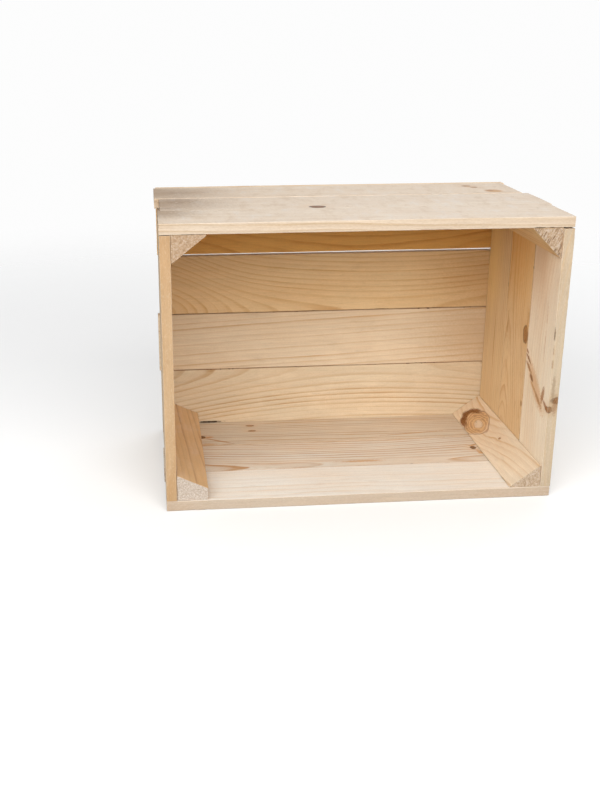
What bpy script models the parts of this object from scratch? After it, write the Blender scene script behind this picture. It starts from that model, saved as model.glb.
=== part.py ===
"""Apple crate: a nailed-together open box of sawn pine boards on four triangular corner posts.

The crate lies on one long side with its mouth towards -Y, as a shelf box.
X runs along the 480 mm boards, Y from the mouth (-Y) to the crate's bottom boards (+Y), Z is up.
The origin is the middle of the footprint, on the surface that the crate stands on.

Standard build: three boards for each long side, three shorter boards for each short side
held between the long sides, four bottom boards over the back edges of all the sides, a
triangular post in each corner, one nail through each side-board end into its post, and two
nails through each bottom-board end into the back edge of the short side.
"""

import math

import bmesh
import bpy
from mathutils import Matrix, Vector

MM = 0.001

# ---- driving dimensions, in millimetres ----
LENGTH = 480.0          # cut length of a long board
HEIGHT = 352.0          # across the long sides, outside to outside
DEPTH = 280.0           # mouth rim to the outside of the bottom boards
BOARD_T = 13.0          # thickness of every board
SIDE_W = 88.5           # width of a side board
SIDE_GAP = 0.6          # gap between neighbouring side boards
CLEAR = 0.3             # clearance between pieces that touch
ARRIS = 0.7             # chamfer on the long edges of a sawn board
POST_BLUNT = 1.32       # flat left on the sharp corners of a triangular post
LOW_LEFT_FLAT = 15.0    # one post was cut from a thicker batten, and keeps this much of its flat side

HEAD_R = 2.4            # radius of a nail's flat head
HEAD_T = 0.9            # thickness of the head
SHANK_R = 1.05          # radius of the shank
NAIL_LEN = 29.0         # top of the head to the tip
TIP_LEN = 3.2           # length of the point
NAIL_SINK = 0.3         # the head lies this far below the wood's surface
NAIL_SIDES = 10         # facets round a nail
NAIL_IN = 12.0          # distance from a post's square corner to a nail
NAIL_OFF = 14.0         # half the distance between the two nails that cross in a post

HALF_L = LENGTH / 2
HALF_D = DEPTH / 2
INNER_X = HALF_L - BOARD_T               # inner face of the short sides
BACK_IN = HALF_D - BOARD_T               # inner face of the bottom boards
SIDE_BACK = BACK_IN - CLEAR              # back edge of the side boards

# Y range of the front, middle and rear board of every side
ROWS = []
for _i in range(3):
    _y0 = -HALF_D + _i * (SIDE_W + SIDE_GAP)
    ROWS.append((_y0, _y0 + SIDE_W))
ROW_NAMES = ("front", "middle", "rear")

# How far each long board was nailed out of line along X
TOP_SHIFT = (0.0, 3.0, -3.0)
TOP_TRIM = (0.5, 0.0, 1.0)               # taken off the right end
LOW_SHIFT = (0.0, -1.0, 1.0)
LOW_TRIM = (0.5, 0.0, 0.0)

# Short boards: gap left at the upper end, because they were cut a little short
SHORT_TOP_GAP = {"left": (0.4, 0.9, 0.5), "right": (1.2, 0.6, 0.9)}
SHORT_OUT = {"left": (0.0, 0.5, 0.2), "right": (0.0, 0.4, 0.7)}   # set in from the outline

# Bottom boards, lowest first: z from, z to, shift along X
BOTTOM = (
    (0.4, 93.9, 0.0),
    (94.5, 176.0, -2.0),
    (176.6, 258.2, 1.0),
    (261.0, 351.6, -0.5),
)

# Corner posts: leg along X, leg along Z, how far the end stands back from the rim
POSTS = {
    ("top", "left"): (40.0, 32.0, 0.6, POST_BLUNT),
    ("top", "right"): (35.5, 36.0, 0.9, POST_BLUNT),
    ("low", "left"): (38.0, 32.5, 1.4, LOW_LEFT_FLAT),
    ("low", "right"): (38.5, 28.0, 0.8, POST_BLUNT),
}

# How far the hammer wandered from the marked line, across and along a board
WANDER = ((1.5, -2.5), (-2.0, 3.0), (0.5, 1.5), (2.5, -1.0), (-1.0, -3.5), (-2.5, 2.0), (1.0, 3.5))


def clear_scene():
    for obj in list(bpy.data.objects):
        bpy.data.objects.remove(obj, do_unlink=True)


def material(name, rgb, rough, metal=0.0):
    mat = bpy.data.materials.new(name)
    mat.use_nodes = True
    bsdf = mat.node_tree.nodes["Principled BSDF"]
    bsdf.inputs["Base Color"].default_value = (*rgb, 1.0)
    bsdf.inputs["Roughness"].default_value = rough
    bsdf.inputs["Metallic"].default_value = metal
    mat.diffuse_color = (*rgb, 1.0)
    return mat


def link(name, mesh, mat=None):
    obj = bpy.data.objects.new(name, mesh)
    bpy.context.scene.collection.objects.link(obj)
    if mat is not None:
        mesh.materials.append(mat)
    return obj


def board(name, x, y, z, grain, mat):
    """A sawn board filling the ranges x, y and z, with its long edges (along grain) chamfered."""
    lo = Vector((x[0], y[0], z[0])) * MM
    hi = Vector((x[1], y[1], z[1])) * MM
    size = hi - lo
    bm = bmesh.new()
    bmesh.ops.create_cube(bm, size=1.0)
    bmesh.ops.scale(bm, vec=size, verts=bm.verts)
    axis = "XYZ".index(grain)
    along = [e for e in bm.edges if abs((e.verts[0].co - e.verts[1].co)[axis]) > 1e-6]
    bmesh.ops.bevel(
        bm, geom=along, offset=ARRIS * MM, offset_type="OFFSET", segments=1,
        profile=0.5, affect="EDGES",
    )
    bmesh.ops.recalc_face_normals(bm, faces=bm.faces)
    mesh = bpy.data.meshes.new(name)
    bm.to_mesh(mesh)
    bm.free()
    obj = link(name, mesh, mat)
    obj.location = (lo + hi) / 2
    return obj


def post(name, vertical, side, mat):
    """A triangular corner post along Y: square corner outwards, both sharp corners blunted."""
    leg_x, leg_z, back, flat = POSTS[(vertical, side)]
    # profile seen from the mouth, with the square corner at 0,0 and the legs along +x and +z
    profile = [
        (0.0, 0.0), (leg_x, 0.0), (leg_x, flat), (POST_BLUNT, leg_z), (0.0, leg_z),
    ]
    sx = 1.0 if side == "left" else -1.0
    sz = 1.0 if vertical == "low" else -1.0
    y0, y1 = -HALF_D + back, SIDE_BACK
    bm = bmesh.new()
    ring = [bm.verts.new((sx * px * MM, 0.0, sz * pz * MM)) for px, pz in profile]
    face = bm.faces.new(ring)
    out = bmesh.ops.extrude_face_region(bm, geom=[face])
    moved = [g for g in out["geom"] if isinstance(g, bmesh.types.BMVert)]
    bmesh.ops.translate(bm, vec=(0.0, (y1 - y0) * MM, 0.0), verts=moved)
    bmesh.ops.recalc_face_normals(bm, faces=bm.faces)
    mesh = bpy.data.meshes.new(name)
    bm.to_mesh(mesh)
    bm.free()
    obj = link(name, mesh, mat)
    corner_x = -sx * (INNER_X - CLEAR)
    corner_z = BOARD_T + CLEAR if vertical == "low" else HEIGHT - BOARD_T - CLEAR
    obj.location = (corner_x * MM, y0 * MM, corner_z * MM)
    return obj


def lathe(name, profile, sides, phase=0.0):
    """A closed turned body: profile is (radius, z) from the top centre to the bottom centre."""
    bm = bmesh.new()
    rings = []
    for r, z in profile:
        if r == 0.0:
            rings.append([bm.verts.new((0.0, 0.0, z * MM))])
            continue
        ring = []
        for k in range(sides):
            t = 2 * math.pi * (k + phase) / sides
            ring.append(bm.verts.new((r * math.cos(t) * MM, r * math.sin(t) * MM, z * MM)))
        rings.append(ring)
    for upper, lower in zip(rings, rings[1:]):
        for k in range(sides):
            n = (k + 1) % sides
            loop = []
            for v in (upper[k % len(upper)], lower[k % len(lower)],
                      lower[n % len(lower)], upper[n % len(upper)]):
                if v not in loop:
                    loop.append(v)
            bm.faces.new(loop)
    bmesh.ops.recalc_face_normals(bm, faces=bm.faces)
    for f in bm.faces:
        f.smooth = True
    mesh = bpy.data.meshes.new(name)
    bm.to_mesh(mesh)
    bm.free()
    mesh.set_sharp_from_angle(angle=math.radians(38))
    return mesh


def nail_profile():
    """Flat head, straight shank, pointed tip. Local z 0 is the wood's surface."""
    top = -NAIL_SINK
    tip = top - NAIL_LEN
    return [
        (0.0, top), (HEAD_R - 0.2, top), (HEAD_R, top - 0.2), (HEAD_R, top - HEAD_T),
        (SHANK_R, top - HEAD_T), (SHANK_R, tip + TIP_LEN), (0.0, tip),
    ]


def hole_profile():
    """The nail's hole with its clearance, open above the surface."""
    grow = 1.0 / math.cos(math.pi / NAIL_SIDES)
    head = (HEAD_R + CLEAR) * grow
    shank = (SHANK_R + CLEAR) * grow
    step = -NAIL_SINK - HEAD_T - CLEAR
    end = -NAIL_SINK - NAIL_LEN - CLEAR
    return [(0.0, 3.0), (head, 3.0), (head, step), (shank, step), (shank, end), (0.0, end)]


def nail(name, head, drive, targets):
    """One nail with its head at head (mm, on the surface), driven along drive through targets."""
    turn = Vector((0, 0, -1)).rotation_difference(Vector(drive)).to_matrix().to_4x4()
    place = Matrix.Translation(Vector(head) * MM) @ turn
    obj = link(name, NAIL_MESH, None)
    obj.matrix_world = place
    cutter = link("hole_" + name, HOLE_MESH, None)
    cutter.matrix_world = place
    cutter.hide_render = True
    cutter.display_type = "WIRE"
    for target in targets:
        mod = target.modifiers.new("hole_" + name, "BOOLEAN")
        mod.operation = "DIFFERENCE"
        mod.solver = "EXACT"
        mod.object = cutter
    return obj


clear_scene()
PINE_LONG = material("pine_long_boards", (0.78, 0.62, 0.42), 0.62)
PINE_SHORT = material("pine_short_boards", (0.80, 0.63, 0.43), 0.62)
PINE_BOTTOM = material("pine_bottom_boards", (0.74, 0.56, 0.36), 0.62)
PINE_POST = material("pine_posts", (0.76, 0.58, 0.38), 0.68)
STEEL = material("nail_steel", (0.42, 0.38, 0.34), 0.45, 1.0)

NAIL_MESH = lathe("nail", nail_profile(), NAIL_SIDES)
NAIL_MESH.materials.append(STEEL)
HOLE_MESH = lathe("nail_hole", hole_profile(), NAIL_SIDES)

# ---- the four corner posts ----
posts = {}
for vertical, side in POSTS:
    posts[(vertical, side)] = post(f"corner_post_{vertical}_{side}", vertical, side, PINE_POST)

# ---- the long sides: full-length boards above and below ----
long_boards = {}
for vertical, z0, shifts, trims in (
    ("top", HEIGHT - BOARD_T, TOP_SHIFT, TOP_TRIM),
    ("low", 0.0, LOW_SHIFT, LOW_TRIM),
):
    for row, (y0, y1) in enumerate(ROWS):
        x0 = -HALF_L + shifts[row]
        x1 = HALF_L + shifts[row] - trims[row]
        long_boards[(vertical, row)] = board(
            f"long_side_{vertical}_{ROW_NAMES[row]}", (x0, x1), (y0, y1), (z0, z0 + BOARD_T),
            "X", PINE_LONG,
        )

# ---- the short sides: shorter boards standing between the long sides ----
short_boards = {}
for side, sign in (("left", -1.0), ("right", 1.0)):
    for row, (y0, y1) in enumerate(ROWS):
        x_out = HALF_L - SHORT_OUT[side][row]
        xs = sorted((sign * x_out, sign * INNER_X))
        z0 = BOARD_T + CLEAR
        z1 = HEIGHT - BOARD_T - CLEAR - SHORT_TOP_GAP[side][row]
        short_boards[(side, row)] = board(
            f"short_side_{side}_{ROW_NAMES[row]}", tuple(xs), (y0, y1), (z0, z1),
            "Z", PINE_SHORT,
        )

# ---- the crate's bottom: four boards over the back edges of the sides ----
bottom_boards = []
for i, (z0, z1, shift) in enumerate(BOTTOM):
    bottom_boards.append(board(
        f"bottom_board_{i + 1}", (-HALF_L + shift, HALF_L + shift), (BACK_IN, HALF_D), (z0, z1),
        "X", PINE_BOTTOM,
    ))

# ---- nails through the side boards into the posts ----
count = 0
for (vertical, side), post_obj in posts.items():
    sx = -1.0 if side == "left" else 1.0
    low = vertical == "low"
    for row, (y0, y1) in enumerate(ROWS):
        mid = (y0 + y1) / 2
        # through the long board, driven towards the post along Z
        across, along = WANDER[count % len(WANDER)]
        nail(
            f"nail_long_{vertical}_{side}_{ROW_NAMES[row]}",
            (sx * (INNER_X - CLEAR - NAIL_IN + across), mid + NAIL_OFF + along,
             0.0 if low else HEIGHT),
            (0, 0, 1 if low else -1), [long_boards[(vertical, row)], post_obj],
        )
        count += 1
        # through the short board, driven towards the post along X
        across, along = WANDER[count % len(WANDER)]
        rise = BOARD_T + CLEAR + NAIL_IN + across * 0.5
        nail(
            f"nail_short_{vertical}_{side}_{ROW_NAMES[row]}",
            (sx * (HALF_L - SHORT_OUT[side][row]), mid - NAIL_OFF + along,
             rise if low else HEIGHT - rise),
            (-sx, 0, 0), [short_boards[(side, row)], post_obj],
        )
        count += 1

# ---- nails through the bottom boards into the back edges of the short sides ----
EDGE_IN = BOARD_T / 2
for i, (z0, z1, shift) in enumerate(BOTTOM):
    for side, sx in (("left", -1.0), ("right", 1.0)):
        for k, share in enumerate((0.27, 0.74)):
            across, along = WANDER[count % len(WANDER)]
            nail(
                f"nail_bottom_{i + 1}_{side}_{'lower' if k == 0 else 'upper'}",
                (sx * (INNER_X + EDGE_IN - 0.5 + across * 0.3), HALF_D,
                 z0 + (z1 - z0) * share + along),
                (0, -1, 0), [bottom_boards[i], short_boards[(side, 2)]],
            )
            count += 1
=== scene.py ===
import math

import bmesh
import bpy
import numpy as np
from mathutils import Matrix, Vector


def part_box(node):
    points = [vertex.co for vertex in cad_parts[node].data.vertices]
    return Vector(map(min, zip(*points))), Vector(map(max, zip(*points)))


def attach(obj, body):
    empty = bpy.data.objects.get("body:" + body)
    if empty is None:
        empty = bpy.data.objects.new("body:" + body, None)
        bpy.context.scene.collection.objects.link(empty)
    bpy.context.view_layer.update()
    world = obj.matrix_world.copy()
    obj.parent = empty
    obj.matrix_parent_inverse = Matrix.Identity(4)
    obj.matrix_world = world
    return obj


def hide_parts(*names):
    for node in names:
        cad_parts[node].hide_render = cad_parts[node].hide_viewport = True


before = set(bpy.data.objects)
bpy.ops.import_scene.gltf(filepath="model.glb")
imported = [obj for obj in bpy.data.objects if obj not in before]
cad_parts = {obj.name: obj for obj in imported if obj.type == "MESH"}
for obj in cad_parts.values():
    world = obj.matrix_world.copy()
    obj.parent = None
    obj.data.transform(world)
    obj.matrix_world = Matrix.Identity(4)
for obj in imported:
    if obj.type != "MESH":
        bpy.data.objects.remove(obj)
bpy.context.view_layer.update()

MM = 0.001


# ------------------------------------------------------------------ small helpers
def lin(rgb):
    """sRGB 0-255 to linear."""
    out = []
    for c in rgb:
        c = c / 255.0
        out.append(c / 12.92 if c <= 0.04045 else ((c + 0.055) / 1.055) ** 2.4)
    return tuple(out)


def hash3(i, j, k, seed):
    h = (i.astype(np.int64) * 374761393 + j.astype(np.int64) * 668265263
         + k.astype(np.int64) * 2147483647 + np.int64(seed) * 144269504)
    h = (h ^ (h >> 13)) * 1274126177
    h = h & 0x7FFFFFFFFFFF
    h = h ^ (h >> 16)
    return (h & 0xFFFFF).astype(float) / float(0xFFFFF) * 2.0 - 1.0


def vnoise(x, y, z, seed=0):
    """Smooth lattice noise in -1..1."""
    x, y, z = np.broadcast_arrays(np.asarray(x, float), np.asarray(y, float), np.asarray(z, float))
    x0, y0, z0 = np.floor(x), np.floor(y), np.floor(z)
    fx, fy, fz = x - x0, y - y0, z - z0
    fx, fy, fz = (f * f * (3 - 2 * f) for f in (fx, fy, fz))
    tot = np.zeros_like(x)
    for a in (0, 1):
        for b in (0, 1):
            for c in (0, 1):
                wgt = (fx if a else 1 - fx) * (fy if b else 1 - fy) * (fz if c else 1 - fz)
                tot += wgt * hash3(x0 + a, y0 + b, z0 + c, seed)
    return tot


def sstep(a, b, x):
    t = np.clip((x - a) / (b - a), 0, 1)
    return t * t * (3 - 2 * t)


# ------------------------------------------------------------------ what each board looks like
# World positions in mm. A knot is (x, y, z, radius, stretch along the grain, darkness, kind).
# kind: 0 sound knot, 1 dead knot with a black bark ring, 2 tiny pin knot, 3 big knot with open rings.
# reach is how deep it goes through the board; bark is the side its bark crescent lies on.
def K(x, y, z, r, stretch=1.3, dark=0.6, kind=0, axis=None, reach=None, bark=None):
    return dict(c=(x, y, z), r=r, e=stretch, dark=dark, kind=kind, axis=axis, reach=reach, bark=bark)


# A mark is a pitch streak, a stain, a dark nick, or a broad soft patch of painted shade and warm bounce light on the
# inner walls:
# centre, length, width, colour, amount, its direction (along the grain unless given), how ragged its outline is, and
# the length of its dashes.
def M(x, y, z, length, width, colour, amount=0.6, along=None, rough=0.35, soft=0.5, dash=0.0):
    return dict(c=(x, y, z), l=length, w=width, col=colour, amt=amount, d=along, rough=rough, soft=soft, dash=dash)


BLACK, BARK, PITCH, AMBER = (44, 30, 22), (112, 70, 36), (158, 106, 56), (196, 144, 86)

WOOD = {
    # node: pith (along the lower-numbered across axis, along the other) from the board's centre, in mm
    "long_side_top_front": dict(pith=(-20, -60), gap=6.0, con=0.32, tint=(228, 214, 196), late=(203, 177, 144),
                                # rim: slight painted shade on the front-facing edge
                                rim=(0.86, 0.84, 0.82), slope=0.016, wob=3.0, grey=0.30, seed=11, weather=0.55, knots=[],
                                marks=[M(-222, -58, 352, 60, 2.4, (150, 122, 94), 0.55, rough=0.6, dash=14),
                                       M(-226, -72, 352, 44, 2.0, (158, 130, 102), 0.45, rough=0.6, dash=10),
                                       M(198, -140, 339.2, 15, 2.6, (72, 46, 28), 0.95, rough=0.35, soft=0.25),
                                       M(212, -140, 339.2, 7, 2.2, (84, 54, 32), 0.9, rough=0.35, soft=0.25),
                                       M(-206, -140, 339.2, 22, 1.6, (110, 76, 46), 0.8, rough=0.5, soft=0.3),
                                       # broad soft darkening over the left end of the top
                                       M(-244, -66, 352, 124, 98, (142, 116, 91), 0.76, rough=0.5, soft=0.92),
                                      M(-240, -52, 352, 70, 5, (116, 86, 60), 0.75, rough=0.7, dash=16)]),
    "long_side_top_middle": dict(pith=(-70, -40), gap=7.4, con=0.36, tint=(228, 213, 194), late=(203, 176, 142),
                                 slope=-0.020, wob=3.2, grey=0.34, seed=12, weather=0.75,
                                 knots=[K(-46, -42.0, 352, 7.8, 1.2, 0.95, 1)],
                                 marks=[M(-214, -30, 352, 70, 2.6, (146, 120, 94), 0.5, rough=0.6, dash=12),
                                        M(-206, 6, 352, 60, 2.2, (150, 124, 98), 0.45, rough=0.6, dash=12),
                                        M(-212, 16, 352, 60, 46, (158, 130, 102), 0.60, rough=0.9, soft=0.7),
                                            M(-240, -38, 352, 64, 6, (112, 82, 58), 0.70, rough=0.7, dash=14),
                                        # broad soft darkening over the left end of the top
                                        M(-244, -2, 352, 204, 160, (141, 115, 91), 0.76, rough=0.5, soft=0.94)]),
    "long_side_top_rear": dict(pith=(30, -25), gap=7.2, con=0.38, tint=(228, 211, 190), late=(203, 174, 138),
                               slope=0.0, quad=(-60, -0.00030), wob=3.0, grey=0.30, seed=13, weather=0.65,
                               knots=[K(180, 104, 352, 5.6, 1.0, 0.80, 0), K(187, 92, 352, 4.4, 1.0, 0.80, 0)],
                               marks=[M(-200, 84, 352, 70, 20, (164, 138, 112), 0.35, rough=0.9),
                                      # broad soft darkening over the left end of the top
                                      M(-244, 86, 352, 224, 160, (142, 116, 92), 0.74, rough=0.5, soft=0.94),
                                      M(204, 58, 352, 26, 27, (190, 140, 84), 0.85, rough=0.35, soft=0.4),
                                      M(199, 62, 352, 13, 14, (150, 100, 56), 0.55, rough=0.5)]),
    # rim: strong painted shade on the front-facing edge of this low board
    "long_side_low_front": dict(pith=(-60, -90), gap=5.0, con=0.30, rim=(0.665, 0.56, 0.468), tint=(234, 233, 227), late=(220, 206, 186),
                                slope=0.010, wob=3.0, grey=0.0, seed=21, weather=0.0,
                                knots=[K(-150, -96, 0, 7.0, 1.5, 0.6, 0, reach=7)], marks=[]),
    "long_side_low_middle": dict(pith=(-36, -14), gap=6.2, con=0.72, tint=(221, 218, 209), late=(182, 143, 105),
                                 slope=0.0, quad=(40, -0.00028), wob=5.0, grey=0.0, seed=22, weather=0.60,
                                 knots=[K(181, -4, 13, 4.8, 0.72, 0.88, 1), K(96, 12, 0, 9.0, 1.4, 0.6, 0, reach=7)],
                                 marks=[M(20, -36, 13, 70, 7, AMBER, 0.65, rough=0.7),
                                        M(-70, -33, 13, 120, 2.6, AMBER, 0.55, rough=0.5),
                                        M(187, -24, 13, 12, 6, (206, 160, 104), 0.6),
                                        M(191.5, -33, 13, 16, 5, (128, 82, 44), 0.85, along=(0.25, -1, 0), rough=0.5),
                                        M(186, -20, 13, 18, 8, (196, 148, 92), 0.7, along=(0.3, -1, 0), rough=0.5)]),
    "long_side_low_rear": dict(pith=(60, 20), gap=6.4, con=0.64, tint=(209, 201, 186), late=(174, 136, 98),
                               slope=-0.02, wob=4.6, grey=0.0, seed=23, weather=0.50,
                               knots=[K(-187, 70, 13, 4.8, 1.1, 0.95, 1),
                                      K(-115, 109, 13, 2.4, 2.2, 0.75, 2), K(-114, 88, 13, 2.4, 2.0, 0.75, 2)],
                               marks=[M(108, 57, 13, 112, 3.4, (186, 138, 88), 0.75, along=(0.994, 0.11, 0), rough=0.45),
                                      M(-176, 69, 13, 14, 8, (190, 132, 74), 0.60, rough=0.4),
                                      M(-180, 40, 13, 30, 15, (194, 148, 100), 0.60, rough=0.5),
                                      M(-165, 55, 13, 52, 4.6, (176, 126, 78), 0.75, along=(0.86, -0.50, 0), rough=0.3),
                                      M(-164, 38, 13, 46, 3.4, (180, 132, 84), 0.60, along=(0.98, 0.18, 0), rough=0.3),
                                      M(-172, 126.4, 13, 46, 2.6, BLACK, 0.9, rough=0.3, soft=0.25)]),
    # rim: strong painted shade on the front-facing edge of the left side
    "short_side_left_front": dict(pith=(20, 60), gap=7.0, con=0.34, rim=(0.66, 0.56, 0.45), tint=(234, 213, 184), late=(206, 167, 121),
                                  slope=0.02, wob=3.0, grey=0.05, seed=31, weather=0.1,
                                  knots=[K(-240, -104, 236, 7.0, 1.5, 0.65, 0, reach=8)], marks=[]),
    "short_side_left_middle": dict(pith=(-16, -50), gap=7.6, con=0.38, tint=(235, 214, 185), late=(206, 166, 120),
                                   slope=0.0, quad=(30, 0.00040), wob=3.0, grey=0.05, seed=32, weather=0.1,
                                   knots=[K(-240, -20, 76, 7.5, 1.3, 0.75, 0)], marks=[]),
    "short_side_left_rear": dict(pith=(16, 120), gap=6.8, con=0.36, tint=(236, 216, 188), late=(208, 170, 124),
                                 slope=0.02, wob=3.0, grey=0.05, seed=33, weather=0.1,
                                 knots=[K(-240, 92, 150, 4.0, 1.6, 0.85, 1, reach=8)], marks=[]),
    # tint raised so the inner face reads lighter: painted light on that face; faces darkens the outer face back to
    # plain wood, and rim paints shade on the front edge
    "short_side_right_front": dict(pith=(14, -52), gap=7.6, con=0.20, tint=(254, 244, 224), late=(228, 196, 154),
                                   faces=[((1, 0, 0), (0.84, 0.72, 0.58))],
                                   rim=(0.58, 0.53, 0.475),
                                   slope=0.0, quad=(-60, 0.00050), wob=3.4, grey=0.0, seed=41, weather=0.1,
                                   knots=[K(229.4, -139, 115, 3.6, 1.1, 0.75, 0, (0.25, 1.0, 0.0)),
                                          K(240, -141, 127, 2.8, 1.7, 0.85, 0, (1.0, 0.2, 0.0))],
                                   marks=[M(227, -92, 130, 90, 26, (216, 168, 112), 0.60, along=(0, -0.78, -0.62), rough=0.7),
                                          M(227, -55, 165, 12, 5, (168, 112, 58), 0.8, along=(0, 0.9, 0.43)),
                                          M(227, -61, 157, 22, 6, PITCH, 0.85, along=(0, 0.9, 0.43), rough=0.6),
                                          M(227, -65, 146, 26, 7, (172, 118, 64), 0.80, along=(0, 0.9, 0.43), rough=0.6),
                                          M(227, -77, 136, 16, 8, (136, 86, 42), 0.85, along=(0, 0.9, 0.43)),
                                          M(227, -84, 127, 20, 5, AMBER, 0.7, along=(0, 0.9, 0.43)),
                                          M(227, -104, 117, 36, 7, (176, 122, 68), 0.7, along=(0, -0.86, -0.50), rough=0.6),
                                          M(227, -119, 127, 26, 10, (168, 112, 58), 0.8, along=(0, -0.25, 0.97), rough=0.5),
                                          M(227, -131, 117, 28, 7, (164, 108, 56), 0.75, along=(0, -0.90, -0.44), rough=0.6),
                                          M(227, -112, 205, 90, 4, AMBER, 0.35, rough=0.6, dash=16),
                                          M(227.3, -139.5, 207, 30, 2.8, BARK, 0.8, rough=0.5, soft=0.3, dash=12),
                                          M(228, -139.9, 178, 44, 2.4, PITCH, 0.6, rough=0.5, dash=12),
                                          # broad soft orange patch high on the inner face: painted warm bounce light
                                          # and shade of the upper interior
                                          M(227, -75, 300, 200, 130, (204, 146, 84), 0.42, rough=0.3, soft=0.95),
                                          M(236, -140, 121, 26, 8, (178, 130, 84), 0.55, rough=0.8),
                                          M(232, -140, 142, 40, 5, (176, 150, 122), 0.5, rough=0.8)]),
    "short_side_right_middle": dict(pith=(12, 30), gap=7.4, con=0.38, tint=(234, 206, 163), late=(198, 148, 92),
                                    slope=0.0, quad=(90, -0.00070), wob=5.0, grey=0.0, seed=42, weather=0.1,
                                    swirl=0.40,
                                    knots=[K(227, -42.0, 183, 8.6, 1.35, 0.85, 0)],
                                    marks=[M(227, -47, 204, 30, 7, (196, 150, 98), 0.6, rough=0.7),
                                           M(227, -48, 91, 9, 7, PITCH, 0.6),
                                           # broad soft orange patch high on the inner face: painted warm bounce light
                                           # and shade of the upper interior
                                           M(227, -8, 300, 220, 170, (245, 180, 74), 0.42, rough=0.3, soft=0.95),
                                           M(227, 28, 180, 40, 5, (186, 138, 86), 0.55, rough=0.6)]),
    "short_side_right_rear": dict(pith=(30, 110), gap=7.0, con=0.36, tint=(232, 206, 164), late=(204, 160, 106),
                                  slope=0.02, wob=3.0, grey=0.0, seed=43, weather=0.1,
                                  knots=[K(240, 96, 92, 6.0, 1.4, 0.7, 0, reach=8)],
                                  marks=[M(227, 80, 140, 90, 4, (188, 142, 84), 0.5, rough=0.6),
                                         # broad soft light warm patch high on the inner face: painted warm bounce light
                                         M(227, 110, 256, 180, 90, (255, 222, 152), 0.60, rough=0.3, soft=0.95)]),
    "bottom_board_1": dict(pith=(29.8, 47.5), gap=5.8, con=0.44, tint=(214, 198, 171), late=(178, 142, 100),
                           slope=0.0, quad=(60, -0.00028), wob=1.2, grey=0.0, seed=51, weather=0.0,
                           knots=[K(152, 140, 44, 9.0, 1.4, 0.7, 0, reach=8)],
                           marks=[M(-202, 127, 18, 12, 2.0, PITCH, 0.5),
                                  M(-172, 127, 14.2, 46, 3.0, BLACK, 0.95, rough=0.3, soft=0.25, dash=9)]),
    "bottom_board_2": dict(pith=(24, -130), gap=7.4, con=0.38, tint=(221, 204, 178), late=(190, 152, 110),
                           slope=-0.045, wob=1.8, grey=0.0, seed=52, weather=0.0,
                           knots=[K(-96, 140, 140, 6.0, 1.5, 0.85, 1, reach=8)],
                           # broad soft darkening at the right end of the inner face, next to the right wall: painted
                           # shade
                           marks=[M(226, 127, 135, 190, 120, (186, 146, 100), 0.42, rough=0.5, soft=0.95)]),
    # faces darkens and warms the inner face of this back board: painted shade of the upper back wall
    "bottom_board_3": dict(pith=(27.7, -42), gap=5.6, con=0.38, bend=[(-236, 76, -22)], faces=[((0, -1, 0), (0.94, 0.85, 0.68))], tint=(234, 214, 184), late=(194, 151, 101),
                           slope=0.0, quad=(84, -0.00027), wob=1.1, grey=0.0, seed=53, weather=0.0,
                           knots=[K(40, 140, 214, 8.0, 1.3, 0.7, 0, reach=8)],
                           # broad soft darkening at the right end of the inner face, next to the right wall: painted
                           # shade
                           marks=[M(230, 127, 215, 170, 110, (178, 132, 82), 0.36, rough=0.5, soft=0.95),
                                  M(74, 127, 176.8, 26, 1.8, BLACK, 0.9, rough=0.5, soft=0.2),
                                  M(136, 127, 176.8, 66, 1.6, BARK, 0.8, rough=0.5, soft=0.3, dash=16),
                                  M(-200, 127, 176.8, 60, 1.5, BARK, 0.6, rough=0.5, soft=0.3, dash=10)]),
    # faces darkens the inner face strongly and makes it orange: painted shade and warm bounce light at the top of the
    # back wall
    "bottom_board_4": dict(pith=(27, -52), gap=6.2, con=0.42, faces=[((0, -1, 0), (0.93, 0.69, 0.31))], tint=(236, 214, 184), late=(194, 150, 104),
                           slope=0.0, quad=(60, -0.00030), wob=2.0, grey=0.0, seed=54, weather=0.0,
                           knots=[K(-160, 140, 306, 5.0, 1.6, 0.85, 1, reach=8)], marks=[]),
    "corner_post_top_left": dict(pith=(60, 30), gap=5.5, con=0.45, tint=(234, 206, 168), late=(200, 154, 106),
                                 slope=0.02, wob=2.0, grey=0.1, seed=61, weather=0.0, knots=[], marks=[],
                                 cut=dict(base=(186, 156, 126), pale=(206, 187, 168), dark=(150, 115, 84), rings=0.25,
                                          tear=0.16, lean=0.9)),
    "corner_post_top_right": dict(pith=(-4, 8), gap=6.0, con=0.45, tint=(235, 201, 150), late=(196, 146, 90),
                                  slope=-0.02, wob=2.0, grey=0.1, seed=62, weather=0.0, knots=[], marks=[],
                                  cut=dict(base=(186, 158, 129), pale=(208, 192, 175), dark=(128, 90, 56), rings=0.25,
                                           tear=0.72, lean=1.1)),
    # darker tint than the other posts: painted shade of its slanted face, which the left wall shades
    "corner_post_low_left": dict(pith=(26, -16), gap=8.0, con=0.50, tint=(209, 170, 120), late=(162, 112, 65),
                                 slope=-0.07, wob=2.6, grey=0.1, seed=63, weather=0.0, knots=[], marks=[],
                                 cut=dict(base=(200, 184, 168), pale=(226, 220, 214), dark=(158, 136, 116), rings=0.08,
                                          tear=0.10, lean=0.7)),
    "corner_post_low_right": dict(pith=(-46, -20), gap=8.0, con=0.48, tint=(233, 219, 196), late=(200, 164, 118),
                                  slope=0.06, wob=2.0, grey=0.05, seed=64, weather=0.0, knots=[], marks=[],
                                  cut=dict(base=(194, 170, 144), pale=(214, 199, 182), dark=(134, 100, 70), rings=0.42,
                                           tear=0.04, lean=0.5)),
}


def seam_sides(node):
    """Which long edges of a board meet another board: (low side, high side)."""
    if node.startswith("bottom_board"):
        return {"1": (False, True), "2": (True, True), "3": (True, False), "4": (False, False)}[node[-1]]
    return {"front": (False, True), "middle": (True, True), "rear": (True, False)}[node.rsplit("_", 1)[1]]


def knot_specs(node):
    return WOOD[node]["knots"]


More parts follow.
